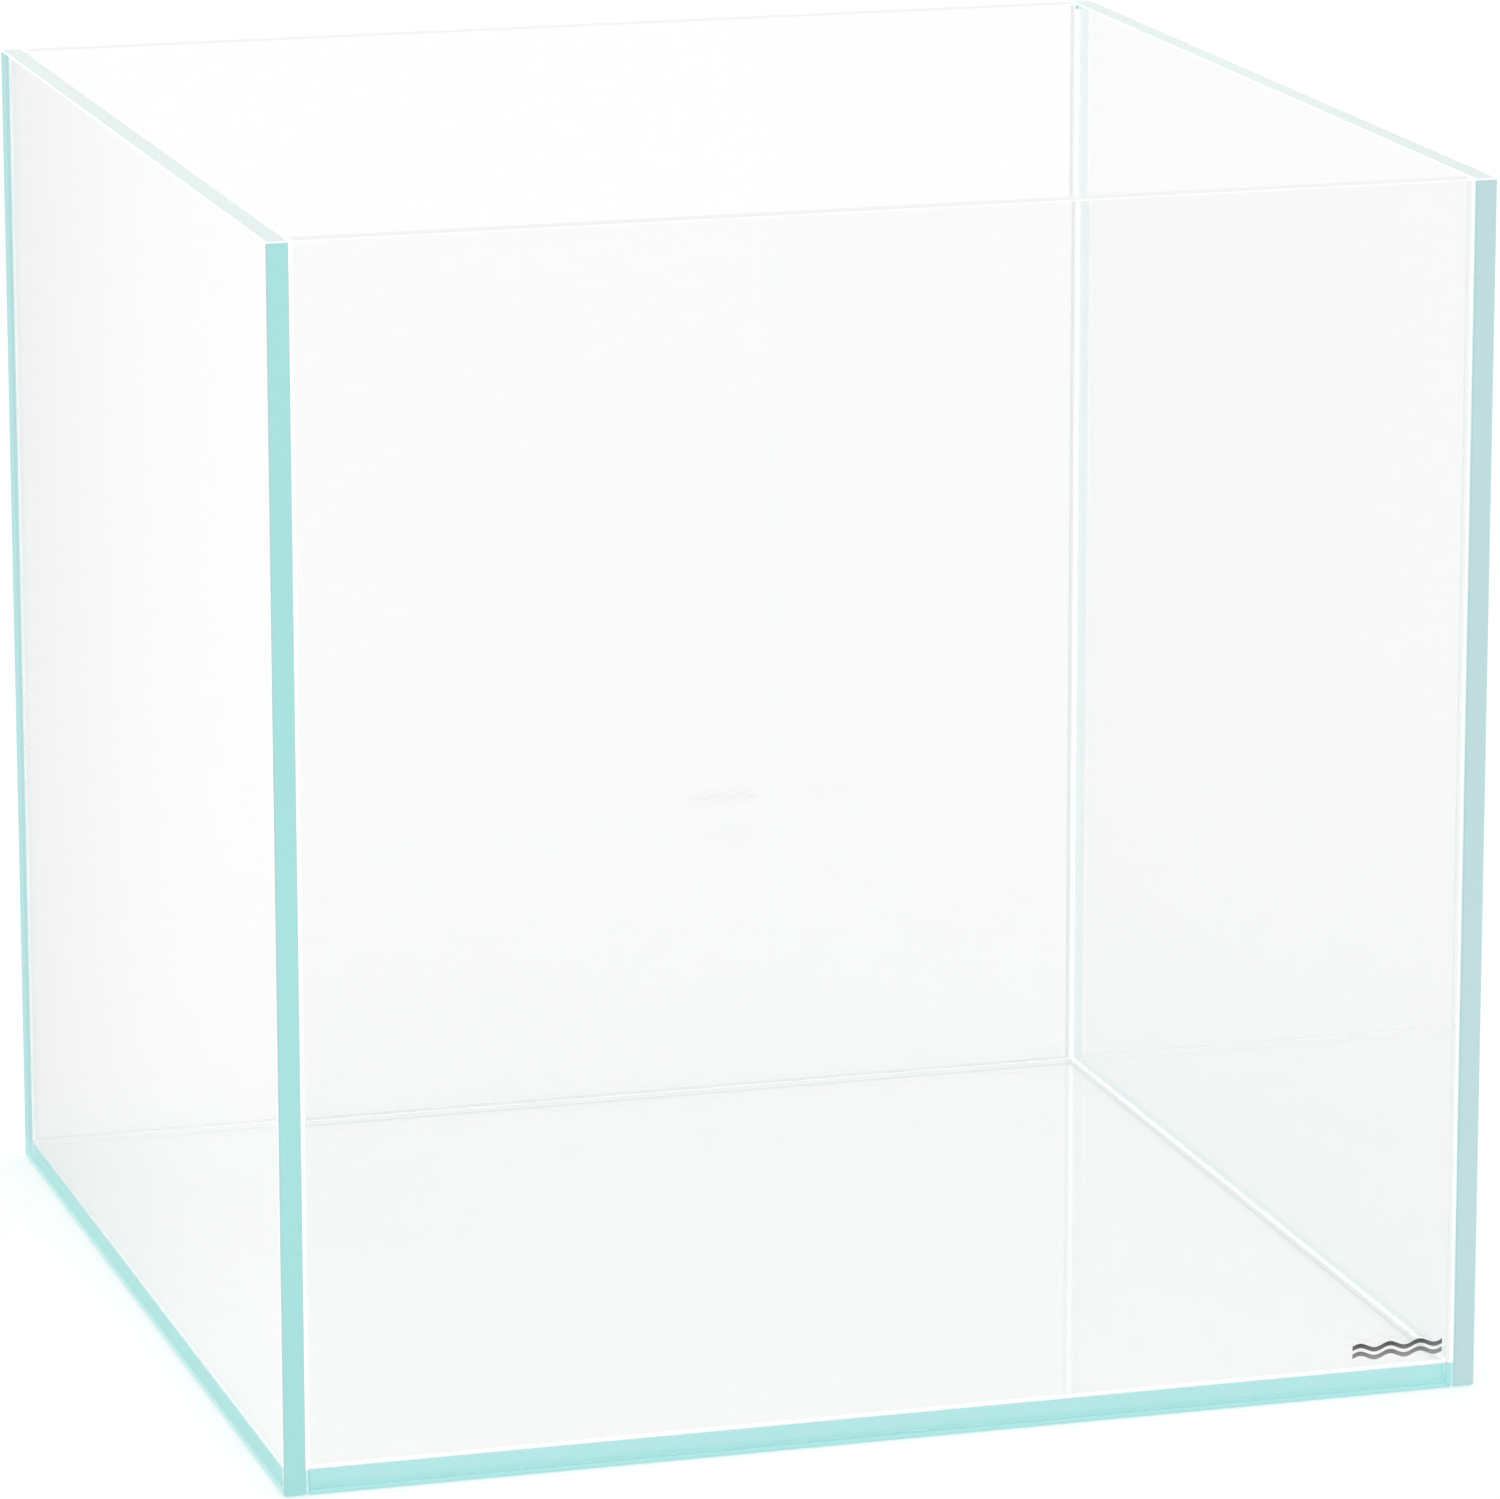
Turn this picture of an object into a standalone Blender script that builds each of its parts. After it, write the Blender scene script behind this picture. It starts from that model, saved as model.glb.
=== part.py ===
"""Rimless aquarium tank: a cube of five low-iron glass panes bonded with clear silicone.

The side panes run the full depth and the full height. The front and back panes are held between them, and the
base pane lies inside all four walls with its underside flush with theirs. A silicone bond fills each joint, a
slim seal bead runs along the inside of every joint, and a small two-wave mark is printed low on the front pane.

Units are metres, +Z is up and the front pane faces -Y. The origin is the centre of the underside.
"""

import math

import bmesh
import bpy
from mathutils import Matrix, Vector

# Driving dimensions
TANK_SIDE = 0.450  # outer width, depth and height
GLASS = 0.008  # thickness of every pane
JOINT = 0.0010  # glass to glass distance across a silicone joint
ARRIS = 0.0005  # width of the flat polished along each edge of a pane
CLEARANCE = 0.0003  # gap kept between pieces that touch on the real tank

# Inner seal beads
BEAD_LEG = 0.0015  # width of a bead on each of the two faces it joins
BEAD_ARC = math.radians(50)  # how far the hollow front of a bead turns
BEAD_SEGMENTS = 6  # an even number, so that one point lies on the mitre line
BEAD_MITRE_GAP = 0.00022  # set-back of each mitred end, measured along the bead
BEAD_TOP_INSET = 0.0020  # the upright beads stop this far under the rim

# Printed mark
MARK_WIDTH = 0.0350
MARK_SIDE_OFFSET = 0.0130  # from the tank's right side to the mark
MARK_HEIGHT = 0.0167  # from the underside to the middle of the mark
MARK_WAVES = 3
MARK_AMPLITUDE = 0.0009
MARK_STROKE = 0.0017
MARK_SPACING = 0.0030  # between the middles of the two waves
MARK_THICKNESS = 0.0001
MARK_STATIONS_PER_WAVE = 12

# Worked out from the above
HALF = TANK_SIDE / 2
INNER_HALF = HALF - GLASS
FLOOR_TOP = GLASS
BOND = JOINT - 2 * CLEARANCE
CAPTIVE_HALF = INNER_HALF - JOINT  # half the width of a pane that is held between two others
QUARTER_TURN = math.pi / 2


def clear_scene():
    for obj in list(bpy.data.objects):
        bpy.data.objects.remove(obj, do_unlink=True)


def make_material(name, colour, roughness, metallic=0.0, transmission=0.0):
    material = bpy.data.materials.new(name)
    material.use_nodes = True
    shader = material.node_tree.nodes["Principled BSDF"]
    shader.inputs["Base Color"].default_value = (*colour, 1.0)
    shader.inputs["Roughness"].default_value = roughness
    shader.inputs["Metallic"].default_value = metallic
    shader.inputs["Transmission Weight"].default_value = transmission
    return material


def add_object(name, mesh, material, parent, location):
    obj = bpy.data.objects.new(name, mesh)
    mesh.materials.append(material)
    obj.parent = parent
    obj.location = location
    bpy.context.scene.collection.objects.link(obj)
    return obj


def mesh_from(name, bm):
    bmesh.ops.recalc_face_normals(bm, faces=bm.faces)
    mesh = bpy.data.meshes.new(name)
    bm.to_mesh(mesh)
    bm.free()
    return mesh


def box_mesh(name, size):
    """A box centred on its own origin, with its size in the mesh rather than in the object's scale."""
    bm = bmesh.new()
    bmesh.ops.create_cube(bm, size=1.0)
    bmesh.ops.scale(bm, vec=size, verts=bm.verts)
    return mesh_from(name, bm)


def add_box(name, low, high, material, parent):
    """A plain box between two opposite corners."""
    low = Vector(low)
    high = Vector(high)
    return add_object(name, box_mesh(name, high - low), material, parent, (low + high) / 2)


def add_pane(name, low, high, material, parent):
    """A sheet of glass with a narrow polished flat along every edge."""
    pane = add_box(name, low, high, material, parent)
    arris = pane.modifiers.new("polished_arris", "BEVEL")
    arris.width = ARRIS
    arris.segments = 1
    arris.limit_method = "ANGLE"
    return pane


def bead_profile():
    """Cross-section of a seal bead, as distances from the two faces it joins.

    The first point is the one in the corner. The rest follow the hollow front from one face to the other.
    """
    radius = BEAD_LEG / math.sqrt(2) / math.sin(BEAD_ARC / 2)
    middle = CLEARANCE + BEAD_LEG / 2
    centre = middle + radius * math.cos(BEAD_ARC / 2) / math.sqrt(2)
    points = [(CLEARANCE, CLEARANCE)]
    for i in range(BEAD_SEGMENTS + 1):
        angle = math.radians(225) + BEAD_ARC * (0.5 - i / BEAD_SEGMENTS)
        points.append((centre + radius * math.cos(angle), centre + radius * math.sin(angle)))
    return points


def bead_mesh(name, length, mitre_far_end):
    """A bead along local +X, with local Y and Z measured from the two faces it joins.

    A mitred end has two flats that meet on the profile's diagonal, because it lies against two other beads.
    """
    bm = bmesh.new()
    profile = bead_profile()
    near = []
    far = []
    for u, v in profile:
        set_back = max(u, v) + BEAD_MITRE_GAP
        near.append(bm.verts.new((set_back, u, v)))
        far.append(bm.verts.new((length - set_back if mitre_far_end else length, u, v)))
    count = len(profile)
    on_diagonal = 1 + BEAD_SEGMENTS // 2
    for ring in (near, far):
        bm.faces.new(ring[: on_diagonal + 1])
        bm.faces.new([ring[0]] + ring[on_diagonal:])
    for i in range(count):
        following = (i + 1) % count
        bm.faces.new((near[i], near[following], far[following], far[i]))
    mesh = mesh_from(name, bm)
    mesh.shade_smooth()
    mesh.set_sharp_from_angle(angle=math.radians(30))
    return mesh


def add_panes(material, parent):
    low = (-CAPTIVE_HALF, -CAPTIVE_HALF, 0)
    high = (CAPTIVE_HALF, CAPTIVE_HALF, FLOOR_TOP)
    add_pane("base_pane", low, high, material, parent)
    for side, sign in (("left", -1), ("right", 1)):
        x_low, x_high = sorted((sign * INNER_HALF, sign * HALF))
        add_pane(f"{side}_pane", (x_low, -HALF, 0), (x_high, HALF, TANK_SIDE), material, parent)
    for side, sign in (("front", -1), ("back", 1)):
        y_low, y_high = sorted((sign * INNER_HALF, sign * HALF))
        low = (-CAPTIVE_HALF, y_low, 0)
        high = (CAPTIVE_HALF, y_high, TANK_SIDE)
        add_pane(f"{side}_pane", low, high, material, parent)


def bond_span(sign):
    """The two faces of an upright bond against the inside of a wall, lowest first."""
    outer = sign * (INNER_HALF - CLEARANCE)
    return sorted((outer, outer - sign * BOND))


def add_base_bonds(material, parent):
    """One strip of silicone between each end of the base pane and the wall beside it."""
    for side, sign in (("left", -1), ("right", 1)):
        x_low, x_high = bond_span(sign)
        low = (x_low, -CAPTIVE_HALF, ARRIS)
        high = (x_high, CAPTIVE_HALF, FLOOR_TOP)
        add_box(f"base_bond_{side}", low, high, material, parent)
    for side, sign in (("front", -1), ("back", 1)):
        y_low, y_high = bond_span(sign)
        low = (-CAPTIVE_HALF, y_low, ARRIS)
        high = (CAPTIVE_HALF, y_high, FLOOR_TOP)
        add_box(f"base_bond_{side}", low, high, material, parent)


def add_corner_bonds(material, parent):
    """One upright strip of silicone between each end of the front and back panes and the side pane."""
    for depth_name, y_sign in (("front", -1), ("back", 1)):
        y_low, y_high = sorted((y_sign * INNER_HALF, y_sign * (HALF - ARRIS)))
        for side_name, x_sign in (("left", -1), ("right", 1)):
            x_low, x_high = bond_span(x_sign)
            low = (x_low, y_low, ARRIS)
            high = (x_high, y_high, TANK_SIDE - ARRIS)
            add_box(f"corner_bond_{depth_name}_{side_name}", low, high, material, parent)


def add_beads(material, parent):
    """The beads follow the inside corners, each set a quarter turn round the tank from the one before."""
    start = Vector((-INNER_HALF, -INNER_HALF, FLOOR_TOP))
    for i, side in enumerate(("front", "right", "back", "left")):
        turn = Matrix.Rotation(i * QUARTER_TURN, 3, "Z")
        mesh = bead_mesh(f"floor_bead_{side}", 2 * INNER_HALF, mitre_far_end=True)
        bead = add_object(f"floor_bead_{side}", mesh, material, parent, turn @ start)
        bead.rotation_euler = turn.to_euler()
    upright = Matrix(((0, 1, 0), (0, 0, 1), (1, 0, 0)))  # local X up, Y to +X and Z to +Y
    length = TANK_SIDE - BEAD_TOP_INSET - FLOOR_TOP
    for i, corner in enumerate(("front_left", "front_right", "back_right", "back_left")):
        turn = Matrix.Rotation(i * QUARTER_TURN, 3, "Z")
        mesh = bead_mesh(f"corner_bead_{corner}", length, mitre_far_end=False)
        bead = add_object(f"corner_bead_{corner}", mesh, material, parent, turn @ start)
        bead.rotation_euler = (turn @ upright).to_euler()


def wave_mesh(name):
    """A flat ribbon along X that rises and falls in Z, centred on its own origin."""
    bm = bmesh.new()
    stations = MARK_WAVES * MARK_STATIONS_PER_WAVE
    rings = []
    for i in range(stations + 1):
        share = i / stations
        x = (share - 0.5) * MARK_WIDTH
        z = MARK_AMPLITUDE * math.sin(2 * math.pi * MARK_WAVES * share)
        corners = ((-1, -1), (1, -1), (1, 1), (-1, 1))
        rings.append(
            [bm.verts.new((x, y * MARK_THICKNESS / 2, z + up * MARK_STROKE / 2)) for y, up in corners]
        )
    for here, there in zip(rings, rings[1:]):
        for a in range(4):
            b = (a + 1) % 4
            bm.faces.new((here[a], here[b], there[b], there[a]))
    bm.faces.new(rings[0])
    bm.faces.new(rings[-1])
    return mesh_from(name, bm)


def add_mark(material, parent):
    x = HALF - MARK_SIDE_OFFSET - MARK_WIDTH / 2
    y = -HALF - CLEARANCE - MARK_THICKNESS / 2
    for name, up in (("mark_wave_lower", -0.5), ("mark_wave_upper", 0.5)):
        location = (x, y, MARK_HEIGHT + up * MARK_SPACING)
        add_object(name, wave_mesh(name), material, parent, location)


def main():
    clear_scene()
    tank = bpy.data.objects.new("tank", None)
    bpy.context.scene.collection.objects.link(tank)
    glass = make_material("low_iron_glass", (0.76, 0.92, 0.90), roughness=0.02, transmission=1.0)
    silicone = make_material("clear_silicone", (0.90, 0.93, 0.92), roughness=0.25, transmission=0.6)
    ink = make_material("grey_ink", (0.10, 0.10, 0.11), roughness=0.40, metallic=0.30)
    add_panes(glass, tank)
    add_base_bonds(silicone, tank)
    add_corner_bonds(silicone, tank)
    add_beads(silicone, tank)
    add_mark(ink, tank)


main()
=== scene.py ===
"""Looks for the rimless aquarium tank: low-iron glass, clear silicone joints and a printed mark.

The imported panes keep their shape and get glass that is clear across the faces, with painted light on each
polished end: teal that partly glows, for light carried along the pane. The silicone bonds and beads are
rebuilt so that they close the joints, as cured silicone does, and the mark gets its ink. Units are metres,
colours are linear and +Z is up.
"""
import math
from collections import namedtuple

import bmesh
import bpy
from mathutils import Matrix, Vector


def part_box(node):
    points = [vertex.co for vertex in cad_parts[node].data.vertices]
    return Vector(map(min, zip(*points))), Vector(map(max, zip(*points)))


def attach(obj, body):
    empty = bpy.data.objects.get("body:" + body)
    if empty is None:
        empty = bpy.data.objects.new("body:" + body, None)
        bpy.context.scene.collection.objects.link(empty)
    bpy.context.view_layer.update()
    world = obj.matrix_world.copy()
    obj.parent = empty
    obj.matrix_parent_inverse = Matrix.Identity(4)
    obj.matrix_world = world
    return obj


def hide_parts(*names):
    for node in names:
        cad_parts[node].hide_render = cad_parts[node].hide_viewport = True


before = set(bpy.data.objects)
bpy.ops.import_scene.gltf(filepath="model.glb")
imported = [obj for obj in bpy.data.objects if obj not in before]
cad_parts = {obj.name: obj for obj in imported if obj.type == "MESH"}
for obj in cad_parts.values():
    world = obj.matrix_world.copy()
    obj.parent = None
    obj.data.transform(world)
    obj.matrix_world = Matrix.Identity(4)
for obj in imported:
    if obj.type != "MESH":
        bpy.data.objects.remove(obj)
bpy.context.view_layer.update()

X, Y, Z = range(3)

# Sizes read from the frame
LEFT_LOW, LEFT_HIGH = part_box("left_pane")
FRONT_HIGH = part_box("front_pane")[1]
SIDE = LEFT_HIGH.y - LEFT_LOW.y
HALF = SIDE / 2
GLASS = LEFT_HIGH.x - LEFT_LOW.x
INNER_HALF = HALF - GLASS
JOINT = INNER_HALF - FRONT_HIGH.x
UNDERSIDE = LEFT_LOW.z
RIM = LEFT_HIGH.z
FLOOR_TOP = UNDERSIDE + GLASS

# Glass
GLASS_IOR = 1.52
LOST_PER_METRE = (0.5, 0.25, 0.26)  # red, green and blue that the glass takes up
CLARITY = (0.964, 0.965, 0.965)  # what the broad faces let through
ARRIS = 0.0005
END_SKIN = 0.0001  # points this close to an end of a pane lie on that end
FLAT_ENOUGH = 0.9  # a face whose normal has no part above this is an arris
# Painted light: the teal of the base pane, seen through the glass ahead of it, is painted on what lies low
# enough
TEAL_RISE = 0.158  # how far the teal of the base carries up the glass ahead of it, per metre of depth
HAZE_SCALE = 6.0
HAZE_SHARE = 0.08  # how much of the haze shows on the broad faces
HAZE_DIM = 0.95
POLISH_DIM = 0.97
STREAK_SCALE = 420.0
STREAK_SHARE = 0.3
STREAK_DIM = 0.93
POLISH_ROUGHNESS = (0.08, 0.25)
PLAIN_SPECULAR = 0.5

# Painted light and shade of each pane at the front and at the back of the tank
SHADE_CURVE = 2.0  # between the two the shade follows this power of the depth
EVEN = (1.0, 1.0)
BASE_SHADE = (1.02, 1.02)
BACK_SHADE = (0.98, 0.98)
LEFT_SHADE = (0.985, 0.80)
RIGHT_SHADE = (0.965, 0.950)

# Colours of the polished ends and arrises, all painted light: the teal that light carried along the glass
# gives the ends, painted highlights and painted shade
LEFT_EDGE = (0.370, 0.740, 0.725)
# Painted shade makes the right end greyer than the left
RIGHT_EDGE = (0.500, 0.700, 0.715)
BASE_EDGE = (0.415, 0.825, 0.815)
BASE_SIDE_EDGE = (0.180, 0.725, 0.695)
BACK_EDGE = (0.390, 0.760, 0.750)
SIDE_RIM = (0.616, 0.750, 0.730)
CROSS_RIM = (0.775, 0.785, 0.783)
EDGE_ARRIS = (0.418, 0.638, 0.624)
# Painted highlight along the arrises, which catch the light
RIM_ARRIS_HIGHLIGHT = (0.965, 0.980, 0.978)
# Painted light on ends and arrises seen from within: teal and pale glow, and grey painted shade
TEAL_INSIDE_GLOW = (0.180, 0.720, 0.710)
PALE_INSIDE_GLOW = (0.930, 0.935, 0.935)
GREY_INSIDE_SHADE = (0.845, 0.850, 0.850)
BLACK = (0.0, 0.0, 0.0)
WHITE = (1.0, 1.0, 1.0)

# Share of the colour seen from outside that light carried along the pane gives. Falling light gives the rest.
ARRIS_PIPED = 0.65
EXPOSED = 0.15
HELD = 0.85

# Silicone
SKIN_CLEARNESS = 0.40
# Painted light: the silicone skin glows a little, though it is no lamp
SILICONE_GLOW = 0.12
MILK = ((0.965, 0.975, 0.975), (0.985, 0.990, 0.990))
CLOUD_SCALE = 60.0
SKIN_ROUGHNESS = (0.15, 0.25)
# Painted light: the teal of the base pane seen through the silicone at the joints
PAINTED_JOINT_TEAL = (0.560, 0.790, 0.785)
BACK_BEAD = ((0.790, 0.795, 0.795), 0.12)  # colour in the shade, and the share of the bead below it
RIGHT_BEAD = ((0.840, 0.845, 0.845), 0.35)
BEAD_DIM = 0.97
WETTING = 0.00005  # how far a bond reaches into the glass on each side, which leaves no gap between them
BEAD_GAP = 0.00003  # a hair of air behind each bead, which keeps it pale
BEAD_LEG = 0.0012
BEAD_SEGMENTS = 8
BEAD_ARC = math.radians(60)
BEAD_TOP_INSET = 0.0020
MENISCUS = 0.0003  # how far the hollow outer face of a bond dips
MENISCUS_SEGMENTS = 6
BONDED_EDGES = 3  # every edge of a bond's section but the hollow one
DIAGONAL = math.radians(225)  # from the middle of a bead's hollow front towards the corner
QUARTER_TURN = math.pi / 2

# Ink
INK_LOW = (0.30, 0.30, 0.31)
INK_HIGH = (0.016, 0.016, 0.018)
INK_FLECK = (0.35, 0.35, 0.36)
FLECK_SHARE = 0.12
BRUSHED = (200.0, 200.0, 6000.0)
INK_ROUGHNESS = (0.35, 0.55)

# Floor, light and camera
SKY_STRENGTH = 1.02
FLOOR_GLOW = 0.235
FLOOR_TONES = (0.800, 0.810)
FLOOR_GRAIN = 40.0
FLOOR_GAP = 0.0004
FLOOR_SIZE = 60.0
CAMERA_AZIMUTH = math.radians(-16.483)
CAMERA_ELEVATION = math.radians(13.518)
CAMERA_ROLL = math.radians(-0.074)
CAMERA_DISTANCE = 7.0796 * SIDE
CAMERA_FOCAL = 201.26
SENSOR = 36.0
AIM_RIGHT = 0.0293 * SIDE
AIM_UP = -0.0441 * SIDE
MAX_BOUNCES = 32
DIFFUSE_BOUNCES = 8

NOISE_MIDDLE = (0.3, 0.7)  # where nearly all noise values lie

# side is -1 for the low end of the axis, 1 for the high end and 0 for both. outside and inside are colours, as
# seen from the air and from within the pane. piped is EXPOSED or HELD. Where footed is true, the end takes the
# teal of the base at its foot.
End = namedtuple("End", "axis side outside inside piped footed", defaults=(False,))

# Colours of the arrises from the air, from within the pane and from within at its foot, then shade and ends
Pane = namedtuple("Pane", "arris inner_arris inner_foot shade ends")


class Nodes:
    """Adds shader nodes to one tree. A value can be a number, a colour or another node's output."""

    def __init__(self, tree):
        self.tree = tree

    def add(self, kind, **values):
        node = self.tree.nodes.new(kind)
        for name, value in values.items():
            setattr(node, name, value)
        return node

    def feed(self, target, value):
        if isinstance(value, bpy.types.NodeSocket):
            self.tree.links.new(value, target)
        elif isinstance(value, tuple) and target.type == "RGBA":
            target.default_value = (*value, 1.0)
        else:
            target.default_value = value

    def math(self, operation, a, b=None, c=None, clamp=False):
        node = self.add("ShaderNodeMath", operation=operation, use_clamp=clamp)
        for socket, value in zip(node.inputs, (a, b, c)):
            if value is not None:
                self.feed(socket, value)
        return node.outputs[0]

    def mix(self, share, a, b):
        """a where share is 0 and b where it is 1, for two numbers or two colours."""
        if isinstance(a, tuple) or getattr(a, "type", "VALUE") == "RGBA":
            node = self.add("ShaderNodeMix", data_type="RGBA")
            names = ("A_Color", "B_Color", "Result_Color")
        else:
            node = self.add("ShaderNodeMix", data_type="FLOAT")
            names = ("A_Float", "B_Float", "Result_Float")
        sockets = {s.identifier: s for s in (*node.inputs, *node.outputs)}
        self.feed(sockets["Factor_Float"], share)
        self.feed(sockets[names[0]], a)
        self.feed(sockets[names[1]], b)
        return sockets[names[2]]

    def spread(self, value, low=0.0, high=1.0):
        """A noise value, which stays near its middle, stretched to fill low to high."""
        node = self.add("ShaderNodeMapRange")
        numbers = {"From Min": NOISE_MIDDLE[0], "From Max": NOISE_MIDDLE[1], "To Min": low, "To Max": high}
        for name, number in numbers.items():
            node.inputs[name].default_value = number
        self.feed(node.inputs["Value"], value)
        return node.outputs["Result"]

    def noise(self, place, scale, detail=2.0):
        node = self.add("ShaderNodeTexNoise")
        self.feed(node.inputs["Vector"], place)
        node.inputs["Scale"].default_value = scale
        node.inputs["Detail"].default_value = detail
        return node.outputs[0]

    def stretched(self, place, scales):
        node = self.add("ShaderNodeVectorMath", operation="MULTIPLY")
        self.feed(node.inputs[0], place)
        node.inputs[1].default_value = scales
        return node.outputs[0]

    def split(self, vector):
        node = self.add("ShaderNodeSeparateXYZ")
        self.feed(node.inputs[0], vector)
        return node.outputs

    def place(self):
        return self.add("ShaderNodeTexCoord").outputs["Object"]


def scaled(colour, factor):
    return tuple(part * factor for part in colour)


def new_material(name):
    material = bpy.data.materials.new(name)
    material.use_nodes = True
    nodes = Nodes(material.node_tree)
    shader = material.node_tree.nodes["Principled BSDF"]
    return material, nodes, shader


def glow(material, nodes, shader, colour, strength):
    """Emission that lights the picture without being sampled as a lamp."""
    nodes.feed(shader.inputs["Emission Color"], colour)
    shader.inputs["Emission Strength"].default_value = strength
    material.cycles.emission_sampling = "NONE"


def absorption(material, nodes):
    """Tints light by how far it travels inside the glass."""
    density = max(LOST_PER_METRE)
    volume = nodes.add("ShaderNodeVolumeAbsorption")
    volume.inputs["Density"].default_value = density
    volume.inputs["Color"].default_value = (*[1 - loss / density for loss in LOST_PER_METRE], 1.0)
    output = material.node_tree.nodes["Material Output"]
    nodes.feed(output.inputs["Volume"], volume.outputs["Volume"])


def beside_base_pane(nodes, at, spare=0.0):
    """1 where a point lies low enough that the teal of the base pane, seen through the glass, is painted on
    it.
    """
    ahead = nodes.math("MAXIMUM", nodes.math("SUBTRACT", -INNER_HALF, at[Y]), 0.0)
    limit = nodes.math("MULTIPLY_ADD", ahead, TEAL_RISE, FLOOR_TOP - spare)
    return nodes.math("LESS_THAN", at[Z], limit)


def shaded_face_colour(nodes, at, haze, low_down, shade):
    """The clear faces, with painted shade that dims them towards the back of the tank above the base pane."""
    depth = nodes.math("MULTIPLY_ADD", at[Y], 1 / SIDE, 0.5)
    depth = nodes.math("POWER", depth, SHADE_CURVE, clamp=True)
    depth = nodes.math("MULTIPLY", depth, nodes.math("SUBTRACT", 1.0, low_down))
    clear = nodes.mix(depth, scaled(CLARITY, shade[0]), scaled(CLARITY, shade[1]))
    return nodes.mix(nodes.math("MULTIPLY", haze, HAZE_SHARE), clear, scaled(CLARITY, HAZE_DIM))


def end_mask(nodes, at, low, high, end):
    """1 on the end of a pane, which reaches from low to high."""
    if end.side < 0:
        return nodes.math("LESS_THAN", at[end.axis], low[end.axis] + END_SKIN)
    reach = at[end.axis] if end.side > 0 else nodes.math("ABSOLUTE", at[end.axis])
    return nodes.math("GREATER_THAN", reach, high[end.axis] - END_SKIN)


def arris_mask(nodes, normal):
    """1 where the surface faces between two axes, as only an arris does."""
    sizes = [nodes.math("ABSOLUTE", part) for part in nodes.split(normal)]
    largest = nodes.math("MAXIMUM", nodes.math("MAXIMUM", sizes[0], sizes[1]), sizes[2])
    return nodes.math("LESS_THAN", largest, FLAT_ENOUGH)


def arris_colour(nodes, node, look, at, low_down, backfacing):
    """The painted light on an arris, which turns teal low on the base pane and at the foot of an outer edge.
    """
    near_rim = nodes.math("GREATER_THAN", at[Z], RIM - ARRIS - END_SKIN)
    reach = nodes.math("ABSOLUTE", at[Y])
    if node == "base_pane":
        cross = nodes.math("GREATER_THAN", reach, nodes.math("ABSOLUTE", at[X]))
        outer = nodes.mix(cross, look.arris, RIM_ARRIS_HIGHLIGHT)
        teal = nodes.math("LESS_THAN", at[Z], FLOOR_TOP / 2)
    else:
        outer = look.arris
        outermost = nodes.math("GREATER_THAN", reach, HALF - GLASS / 2)
        teal = nodes.math("MULTIPLY", low_down, outermost)
    outer = nodes.mix(teal, nodes.mix(near_rim, outer, RIM_ARRIS_HIGHLIGHT), EDGE_ARRIS)
    inner = nodes.mix(near_rim, nodes.mix(low_down, look.inner_arris, look.inner_foot), RIM_ARRIS_HIGHLIGHT)
    return nodes.mix(backfacing, outer, inner)


def glass_material(node, look):
    """Float glass that is clear through its broad faces, with painted light and shade on each polished end and
    arris.

    Ends and arrises are solid. Part of their look is emission, which stands for light that comes along the
    pane. Where an end is seen from within the pane, all of it is.
    """
    low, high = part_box(node)
    material, nodes, shader = new_material(f"glass_{node}")
    geometry = nodes.add("ShaderNodeNewGeometry")
    backfacing = geometry.outputs["Backfacing"]
    place = nodes.place()
    at = nodes.split(place)
    haze = nodes.spread(nodes.noise(place, HAZE_SCALE, detail=0.0))
    streaks = nodes.spread(nodes.noise(place, STREAK_SCALE))
    low_down = beside_base_pane(nodes, at)
    colour = shaded_face_colour(nodes, at, haze, low_down, look.shade)
    inner_colour = colour
    emitted = BLACK
    inner_emitted = BLACK
    solid = 0.0
    for end in look.ends:
        mask = end_mask(nodes, at, low, high, end)
        # The end's painted light, with the real haze and polishing streaks worked into it
        polish = nodes.mix(haze, scaled(end.outside, POLISH_DIM), end.outside)
        streaked = nodes.math("MULTIPLY", streaks, STREAK_SHARE)
        polish = nodes.mix(streaked, polish, scaled(end.outside, STREAK_DIM))
        inside = end.inside
        if end.footed:
            polish = nodes.mix(low_down, polish, BASE_EDGE)
            inside = nodes.mix(low_down, inside, BASE_EDGE)
        colour = nodes.mix(mask, colour, nodes.mix(end.piped, polish, BLACK))
        emitted = nodes.mix(mask, emitted, nodes.mix(1.0 - end.piped, polish, BLACK))
        inner_colour = nodes.mix(mask, inner_colour, BLACK)
        inner_emitted = nodes.mix(mask, inner_emitted, inside)
        solid = nodes.math("MAXIMUM", solid, mask)
    colour = nodes.mix(backfacing, colour, inner_colour)
    emitted = nodes.mix(backfacing, emitted, inner_emitted)
    # Arrises carry painted highlight and shade, most of it as glow
    arris = arris_mask(nodes, geometry.outputs["True Normal"])
    edge = arris_colour(nodes, node, look, at, low_down, backfacing)
    colour = nodes.mix(arris, colour, nodes.mix(ARRIS_PIPED, edge, BLACK))
    emitted = nodes.mix(arris, emitted, nodes.mix(1.0 - ARRIS_PIPED, edge, BLACK))
    solid = nodes.math("MAXIMUM", solid, arris)
    shader.inputs["IOR"].default_value = GLASS_IOR
    nodes.feed(shader.inputs["Base Color"], colour)
    glow(material, nodes, shader, emitted, 1.0)
    nodes.feed(shader.inputs["Transmission Weight"], nodes.math("SUBTRACT", 1.0, solid))
    roughness = nodes.math("MULTIPLY", solid, nodes.mix(streaks, *POLISH_ROUGHNESS))
    nodes.feed(shader.inputs["Roughness"], roughness)
    shine = nodes.math("SUBTRACT", 1.0, nodes.math("MULTIPLY", solid, backfacing))
    nodes.feed(shader.inputs["Specular IOR Level"], nodes.math("MULTIPLY", shine, PLAIN_SPECULAR))
    absorption(material, nodes)
    return material


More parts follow.
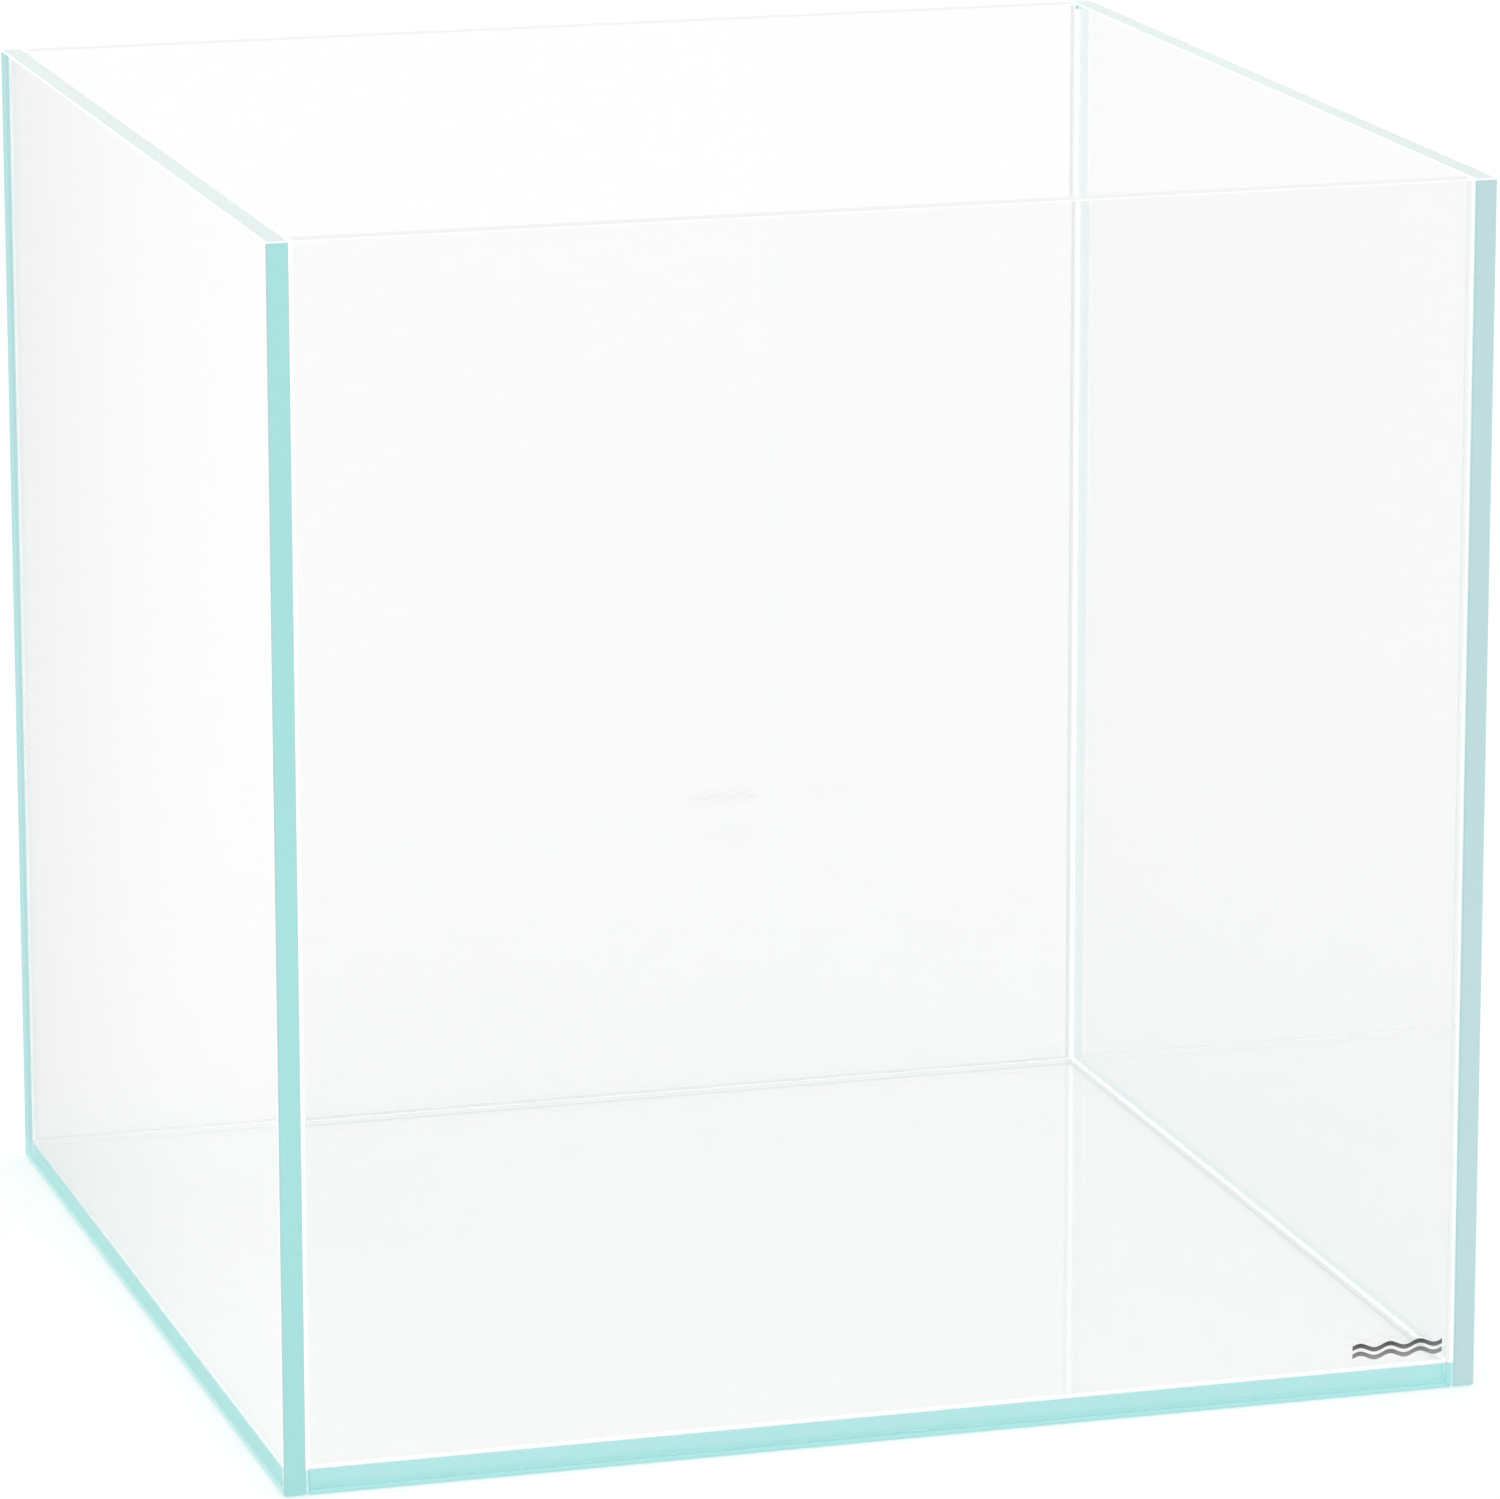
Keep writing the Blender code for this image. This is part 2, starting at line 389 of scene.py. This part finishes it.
def bonded_silicone():
    """Silicone where it wets the glass, fully clear and smooth."""
    material, nodes, shader = new_material("bonded_silicone")
    cloud = nodes.spread(nodes.noise(nodes.place(), CLOUD_SCALE, detail=1.0))
    shader.inputs["IOR"].default_value = GLASS_IOR
    shader.inputs["Transmission Weight"].default_value = 1.0
    shader.inputs["Roughness"].default_value = 0.0
    nodes.feed(shader.inputs["Base Color"], nodes.mix(cloud, *MILK))
    return material


def silicone_skin(name, upper=None, pale_share=0.0):
    """The free surface of cured silicone, a little milky and clouded.

    Beside the base pane the teal of the glass behind it, seen through the silicone, is painted on as light. On
    a bead along the floor, upper is the painted colour of the part that sits in the shade of the wall, above
    pale_share of the bead's height.
    """
    material, nodes, shader = new_material(name)
    cloud = nodes.spread(nodes.noise(nodes.place(), CLOUD_SCALE, detail=1.0))
    at = nodes.split(nodes.place())
    milky = nodes.mix(cloud, *MILK)
    if upper:
        above = nodes.math("GREATER_THAN", at[Z], FLOOR_TOP + BEAD_LEG * pale_share)
        milky = nodes.mix(above, milky, nodes.mix(cloud, scaled(upper, BEAD_DIM), upper))
    milky = nodes.mix(beside_base_pane(nodes, at, END_SKIN), milky, PAINTED_JOINT_TEAL)
    shader.inputs["IOR"].default_value = GLASS_IOR
    shader.inputs["Transmission Weight"].default_value = SKIN_CLEARNESS
    nodes.feed(shader.inputs["Roughness"], nodes.mix(cloud, *SKIN_ROUGHNESS))
    nodes.feed(shader.inputs["Base Color"], milky)
    # Painted light: a faint glow in the silicone's own colour
    glow(material, nodes, shader, milky, SILICONE_GLOW)
    return material


def ink_material(low, high):
    """Dark ink that fades to a mid grey downwards, with fine brushed flecks."""
    material, nodes, shader = new_material("grey_ink")
    place = nodes.place()
    fade = nodes.add("ShaderNodeMapRange")
    fade.inputs["From Min"].default_value = low
    fade.inputs["From Max"].default_value = high
    nodes.feed(fade.inputs["Value"], nodes.split(place)[Z])
    brushed = nodes.noise(nodes.stretched(place, BRUSHED), 1.0, detail=3.0)
    tone = nodes.mix(fade.outputs["Result"], INK_LOW, INK_HIGH)
    flecks = nodes.spread(brushed, 0.0, FLECK_SHARE)
    nodes.feed(shader.inputs["Base Color"], nodes.mix(flecks, tone, INK_FLECK))
    nodes.feed(shader.inputs["Roughness"], nodes.spread(brushed, *INK_ROUGHNESS))
    return material


def mesh_object(name, bm, *materials):
    bmesh.ops.recalc_face_normals(bm, faces=bm.faces)
    mesh = bpy.data.meshes.new(name)
    bm.to_mesh(mesh)
    bm.free()
    for material in materials:
        mesh.materials.append(material)
    obj = bpy.data.objects.new(name, mesh)
    bpy.context.scene.collection.objects.link(obj)
    return obj


def add_silicone(node, profile, bonded, length, stand, materials):
    """A closed prism in the place of a silicone node. stand takes (along, u, v) to a point in the tank.

    The first bonded edges of the profile lie against glass and take the second material.
    """
    bm = bmesh.new()
    rings = []
    for along in (0.0, length):
        rings.append([bm.verts.new(stand @ Vector((along, u, v))) for u, v in profile])
    bm.faces.new(rings[0])
    bm.faces.new(rings[1])
    for j in range(len(profile)):
        k = (j + 1) % len(profile)
        face = bm.faces.new((rings[0][j], rings[0][k], rings[1][k], rings[1][j]))
        face.material_index = int(j < bonded)
    piece = mesh_object(f"silicone_{node}", bm, *materials)
    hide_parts(node)
    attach(piece, "root")


def bond_profile(depth):
    """Cross-section of a bond. u runs from the wall across the joint, and v inwards from the outer face."""
    near = -WETTING
    far = JOINT + WETTING
    points = [(far, 0.0), (far, depth), (near, depth), (near, 0.0)]
    for i in range(1, MENISCUS_SEGMENTS):
        share = i / MENISCUS_SEGMENTS
        points.append((near + (far - near) * share, MENISCUS * (1 - (2 * share - 1) ** 2)))
    return points


def add_bonds(materials):
    for node in [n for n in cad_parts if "bond" in n]:
        low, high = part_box(node)
        size = high - low
        thin = min(range(3), key=lambda i: size[i])
        middle = (low + high) / 2
        inward = Vector((0.0, 0.0, 0.0))
        if node.startswith("corner"):
            run = Z
            inward[Y] = -1.0 if middle.y > 0 else 1.0
        else:
            run = Y if thin == X else X
            inward[Z] = 1.0
        deep = X + Y + Z - run - thin
        start = middle.copy()
        start[run] = low[run]
        side = 1.0 if middle[thin] > 0 else -1.0
        start[thin] = side * INNER_HALF
        start[deep] = low[deep] if inward[deep] > 0 else high[deep]
        lengthwise = Vector([float(i == run) for i in range(3)])
        across = Vector([-side * (i == thin) for i in range(3)])
        stand = Matrix((lengthwise, across, inward)).transposed().to_4x4()
        stand.translation = start
        profile = bond_profile(size[deep] + WETTING)
        add_silicone(node, profile, BONDED_EDGES, size[run], stand, materials)


def bead_profile():
    """Cross-section of a bead with a hollow front, as distances from the two faces that it joins."""
    radius = BEAD_LEG / math.sqrt(2) / math.sin(BEAD_ARC / 2)
    middle = BEAD_LEG / 2
    centre = middle + radius * math.cos(BEAD_ARC / 2) / math.sqrt(2)
    points = [(BEAD_GAP, BEAD_GAP), (BEAD_GAP, BEAD_LEG)]
    for i in range(BEAD_SEGMENTS + 1):
        angle = DIAGONAL - BEAD_ARC * (0.5 - i / BEAD_SEGMENTS)
        points.append((centre + radius * math.cos(angle), centre + radius * math.sin(angle)))
    points.append((BEAD_LEG, BEAD_GAP))
    return points


def add_beads(plain, shaded):
    """The beads follow the inside corners, each a quarter turn round the tank from the one before."""
    corner = Matrix.Translation((-INNER_HALF, -INNER_HALF, FLOOR_TOP))
    upright = Matrix(((0, 1, 0), (0, 0, 1), (1, 0, 0))).to_4x4()
    rising = RIM - FLOOR_TOP - BEAD_TOP_INSET
    runs = (
        ("floor_bead", ("front", "right", "back", "left"), Matrix.Identity(4), 2 * INNER_HALF),
        ("corner_bead", ("front_left", "front_right", "back_right", "back_left"), upright, rising),
    )
    for prefix, names, direction, length in runs:
        for i, side in enumerate(names):
            node = f"{prefix}_{side}"
            stand = Matrix.Rotation(i * QUARTER_TURN, 4, "Z") @ corner @ direction
            add_silicone(node, bead_profile(), 0, length, stand, [shaded.get(node, plain)])


def add_glass():
    back = End(Y, 1, BACK_EDGE, TEAL_INSIDE_GLOW, EXPOSED)
    side_rim = End(Z, 1, SIDE_RIM, SIDE_RIM, EXPOSED)
    cross_rim = End(Z, 1, CROSS_RIM, CROSS_RIM, EXPOSED)
    foot = End(Z, -1, BASE_EDGE, BASE_EDGE, EXPOSED)
    left_front = End(Y, -1, LEFT_EDGE, TEAL_INSIDE_GLOW, EXPOSED)
    right_front = End(Y, -1, RIGHT_EDGE, TEAL_INSIDE_GLOW, EXPOSED)
    front_sides = End(X, 0, CROSS_RIM, PALE_INSIDE_GLOW, HELD, footed=True)
    back_sides = End(X, 0, TEAL_INSIDE_GLOW, GREY_INSIDE_SHADE, HELD)
    base_sides = End(X, 0, BASE_SIDE_EDGE, GREY_INSIDE_SHADE, HELD)
    base_cross = End(Y, 0, BASE_EDGE, PALE_INSIDE_GLOW, HELD)
    left_ends = (left_front, back, side_rim, foot)
    right_ends = (right_front, back, side_rim, foot)
    looks = {
        "base_pane": Pane(GREY_INSIDE_SHADE, GREY_INSIDE_SHADE, GREY_INSIDE_SHADE, BASE_SHADE, (base_sides, base_cross)),
        "left_pane": Pane(EDGE_ARRIS, TEAL_INSIDE_GLOW, BASE_EDGE, LEFT_SHADE, left_ends),
        "right_pane": Pane(EDGE_ARRIS, TEAL_INSIDE_GLOW, BASE_EDGE, RIGHT_SHADE, right_ends),
        "front_pane": Pane(RIM_ARRIS_HIGHLIGHT, RIM_ARRIS_HIGHLIGHT, BASE_EDGE, EVEN, (front_sides, cross_rim, foot)),
        "back_pane": Pane(RIM_ARRIS_HIGHLIGHT, RIM_ARRIS_HIGHLIGHT, GREY_INSIDE_SHADE, BACK_SHADE, (back_sides, cross_rim, foot)),
    }
    for node, look in looks.items():
        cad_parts[node].material_slots[0].material = glass_material(node, look)


def add_mark():
    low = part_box("mark_wave_lower")[0]
    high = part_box("mark_wave_upper")[1]
    ink = ink_material(low.z, high.z)
    for node in ("mark_wave_lower", "mark_wave_upper"):
        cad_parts[node].material_slots[0].material = ink


def add_floor():
    bm = bmesh.new()
    bmesh.ops.create_grid(bm, x_segments=1, y_segments=1, size=FLOOR_SIZE / 2)
    bmesh.ops.translate(bm, vec=(0, 0, UNDERSIDE - FLOOR_GAP), verts=bm.verts)
    material, nodes, shader = new_material("pale_floor")
    grain = nodes.spread(nodes.noise(nodes.place(), FLOOR_GRAIN, detail=3.0))
    dark, pale = (scaled(WHITE, tone) for tone in FLOOR_TONES)
    nodes.feed(shader.inputs["Base Color"], nodes.mix(grain, dark, pale))
    shader.inputs["Roughness"].default_value = 1.0
    shader.inputs["Specular IOR Level"].default_value = 0.0
    glow(material, nodes, shader, WHITE, FLOOR_GLOW)
    mesh_object("floor", bm, material)


def add_light():
    world = bpy.data.worlds.new("studio")
    world.use_nodes = True
    background = world.node_tree.nodes["Background"]
    background.inputs["Color"].default_value = (*WHITE, 1.0)
    background.inputs["Strength"].default_value = SKY_STRENGTH
    bpy.context.scene.world = world


def add_camera():
    forward = Vector((
        -math.sin(CAMERA_AZIMUTH) * math.cos(CAMERA_ELEVATION),
        math.cos(CAMERA_AZIMUTH) * math.cos(CAMERA_ELEVATION),
        -math.sin(CAMERA_ELEVATION),
    ))
    right = Vector((math.cos(CAMERA_AZIMUTH), math.sin(CAMERA_AZIMUTH), 0.0))
    up = right.cross(forward)
    turn = Matrix.Rotation(-CAMERA_ROLL, 3, forward)
    right = turn @ right
    up = turn @ up
    data = bpy.data.cameras.new("camera")
    data.sensor_width = SENSOR
    data.lens = CAMERA_FOCAL
    camera = bpy.data.objects.new("camera", data)
    bpy.context.scene.collection.objects.link(camera)
    stand = Matrix((right, up, -forward)).transposed().to_4x4()
    middle = Vector((0, 0, SIDE / 2))
    stand.translation = middle - forward * CAMERA_DISTANCE + right * AIM_RIGHT + up * AIM_UP
    camera.matrix_world = stand
    bpy.context.scene.camera = camera


def set_view():
    scene = bpy.context.scene
    scene.view_settings.view_transform = "Standard"
    scene.cycles.max_bounces = MAX_BOUNCES
    scene.cycles.transmission_bounces = MAX_BOUNCES
    scene.cycles.glossy_bounces = MAX_BOUNCES
    scene.cycles.diffuse_bounces = DIFFUSE_BOUNCES
    scene.cycles.blur_glossy = 0.0


def main():
    add_glass()
    skin = silicone_skin("clear_silicone")
    shaded = {
        "floor_bead_back": silicone_skin("shaded_silicone_back", *BACK_BEAD),
        "floor_bead_right": silicone_skin("shaded_silicone_right", *RIGHT_BEAD),
    }
    add_bonds([skin, bonded_silicone()])
    add_beads(skin, shaded)
    add_mark()
    add_floor()
    add_light()
    add_camera()
    set_view()


main()
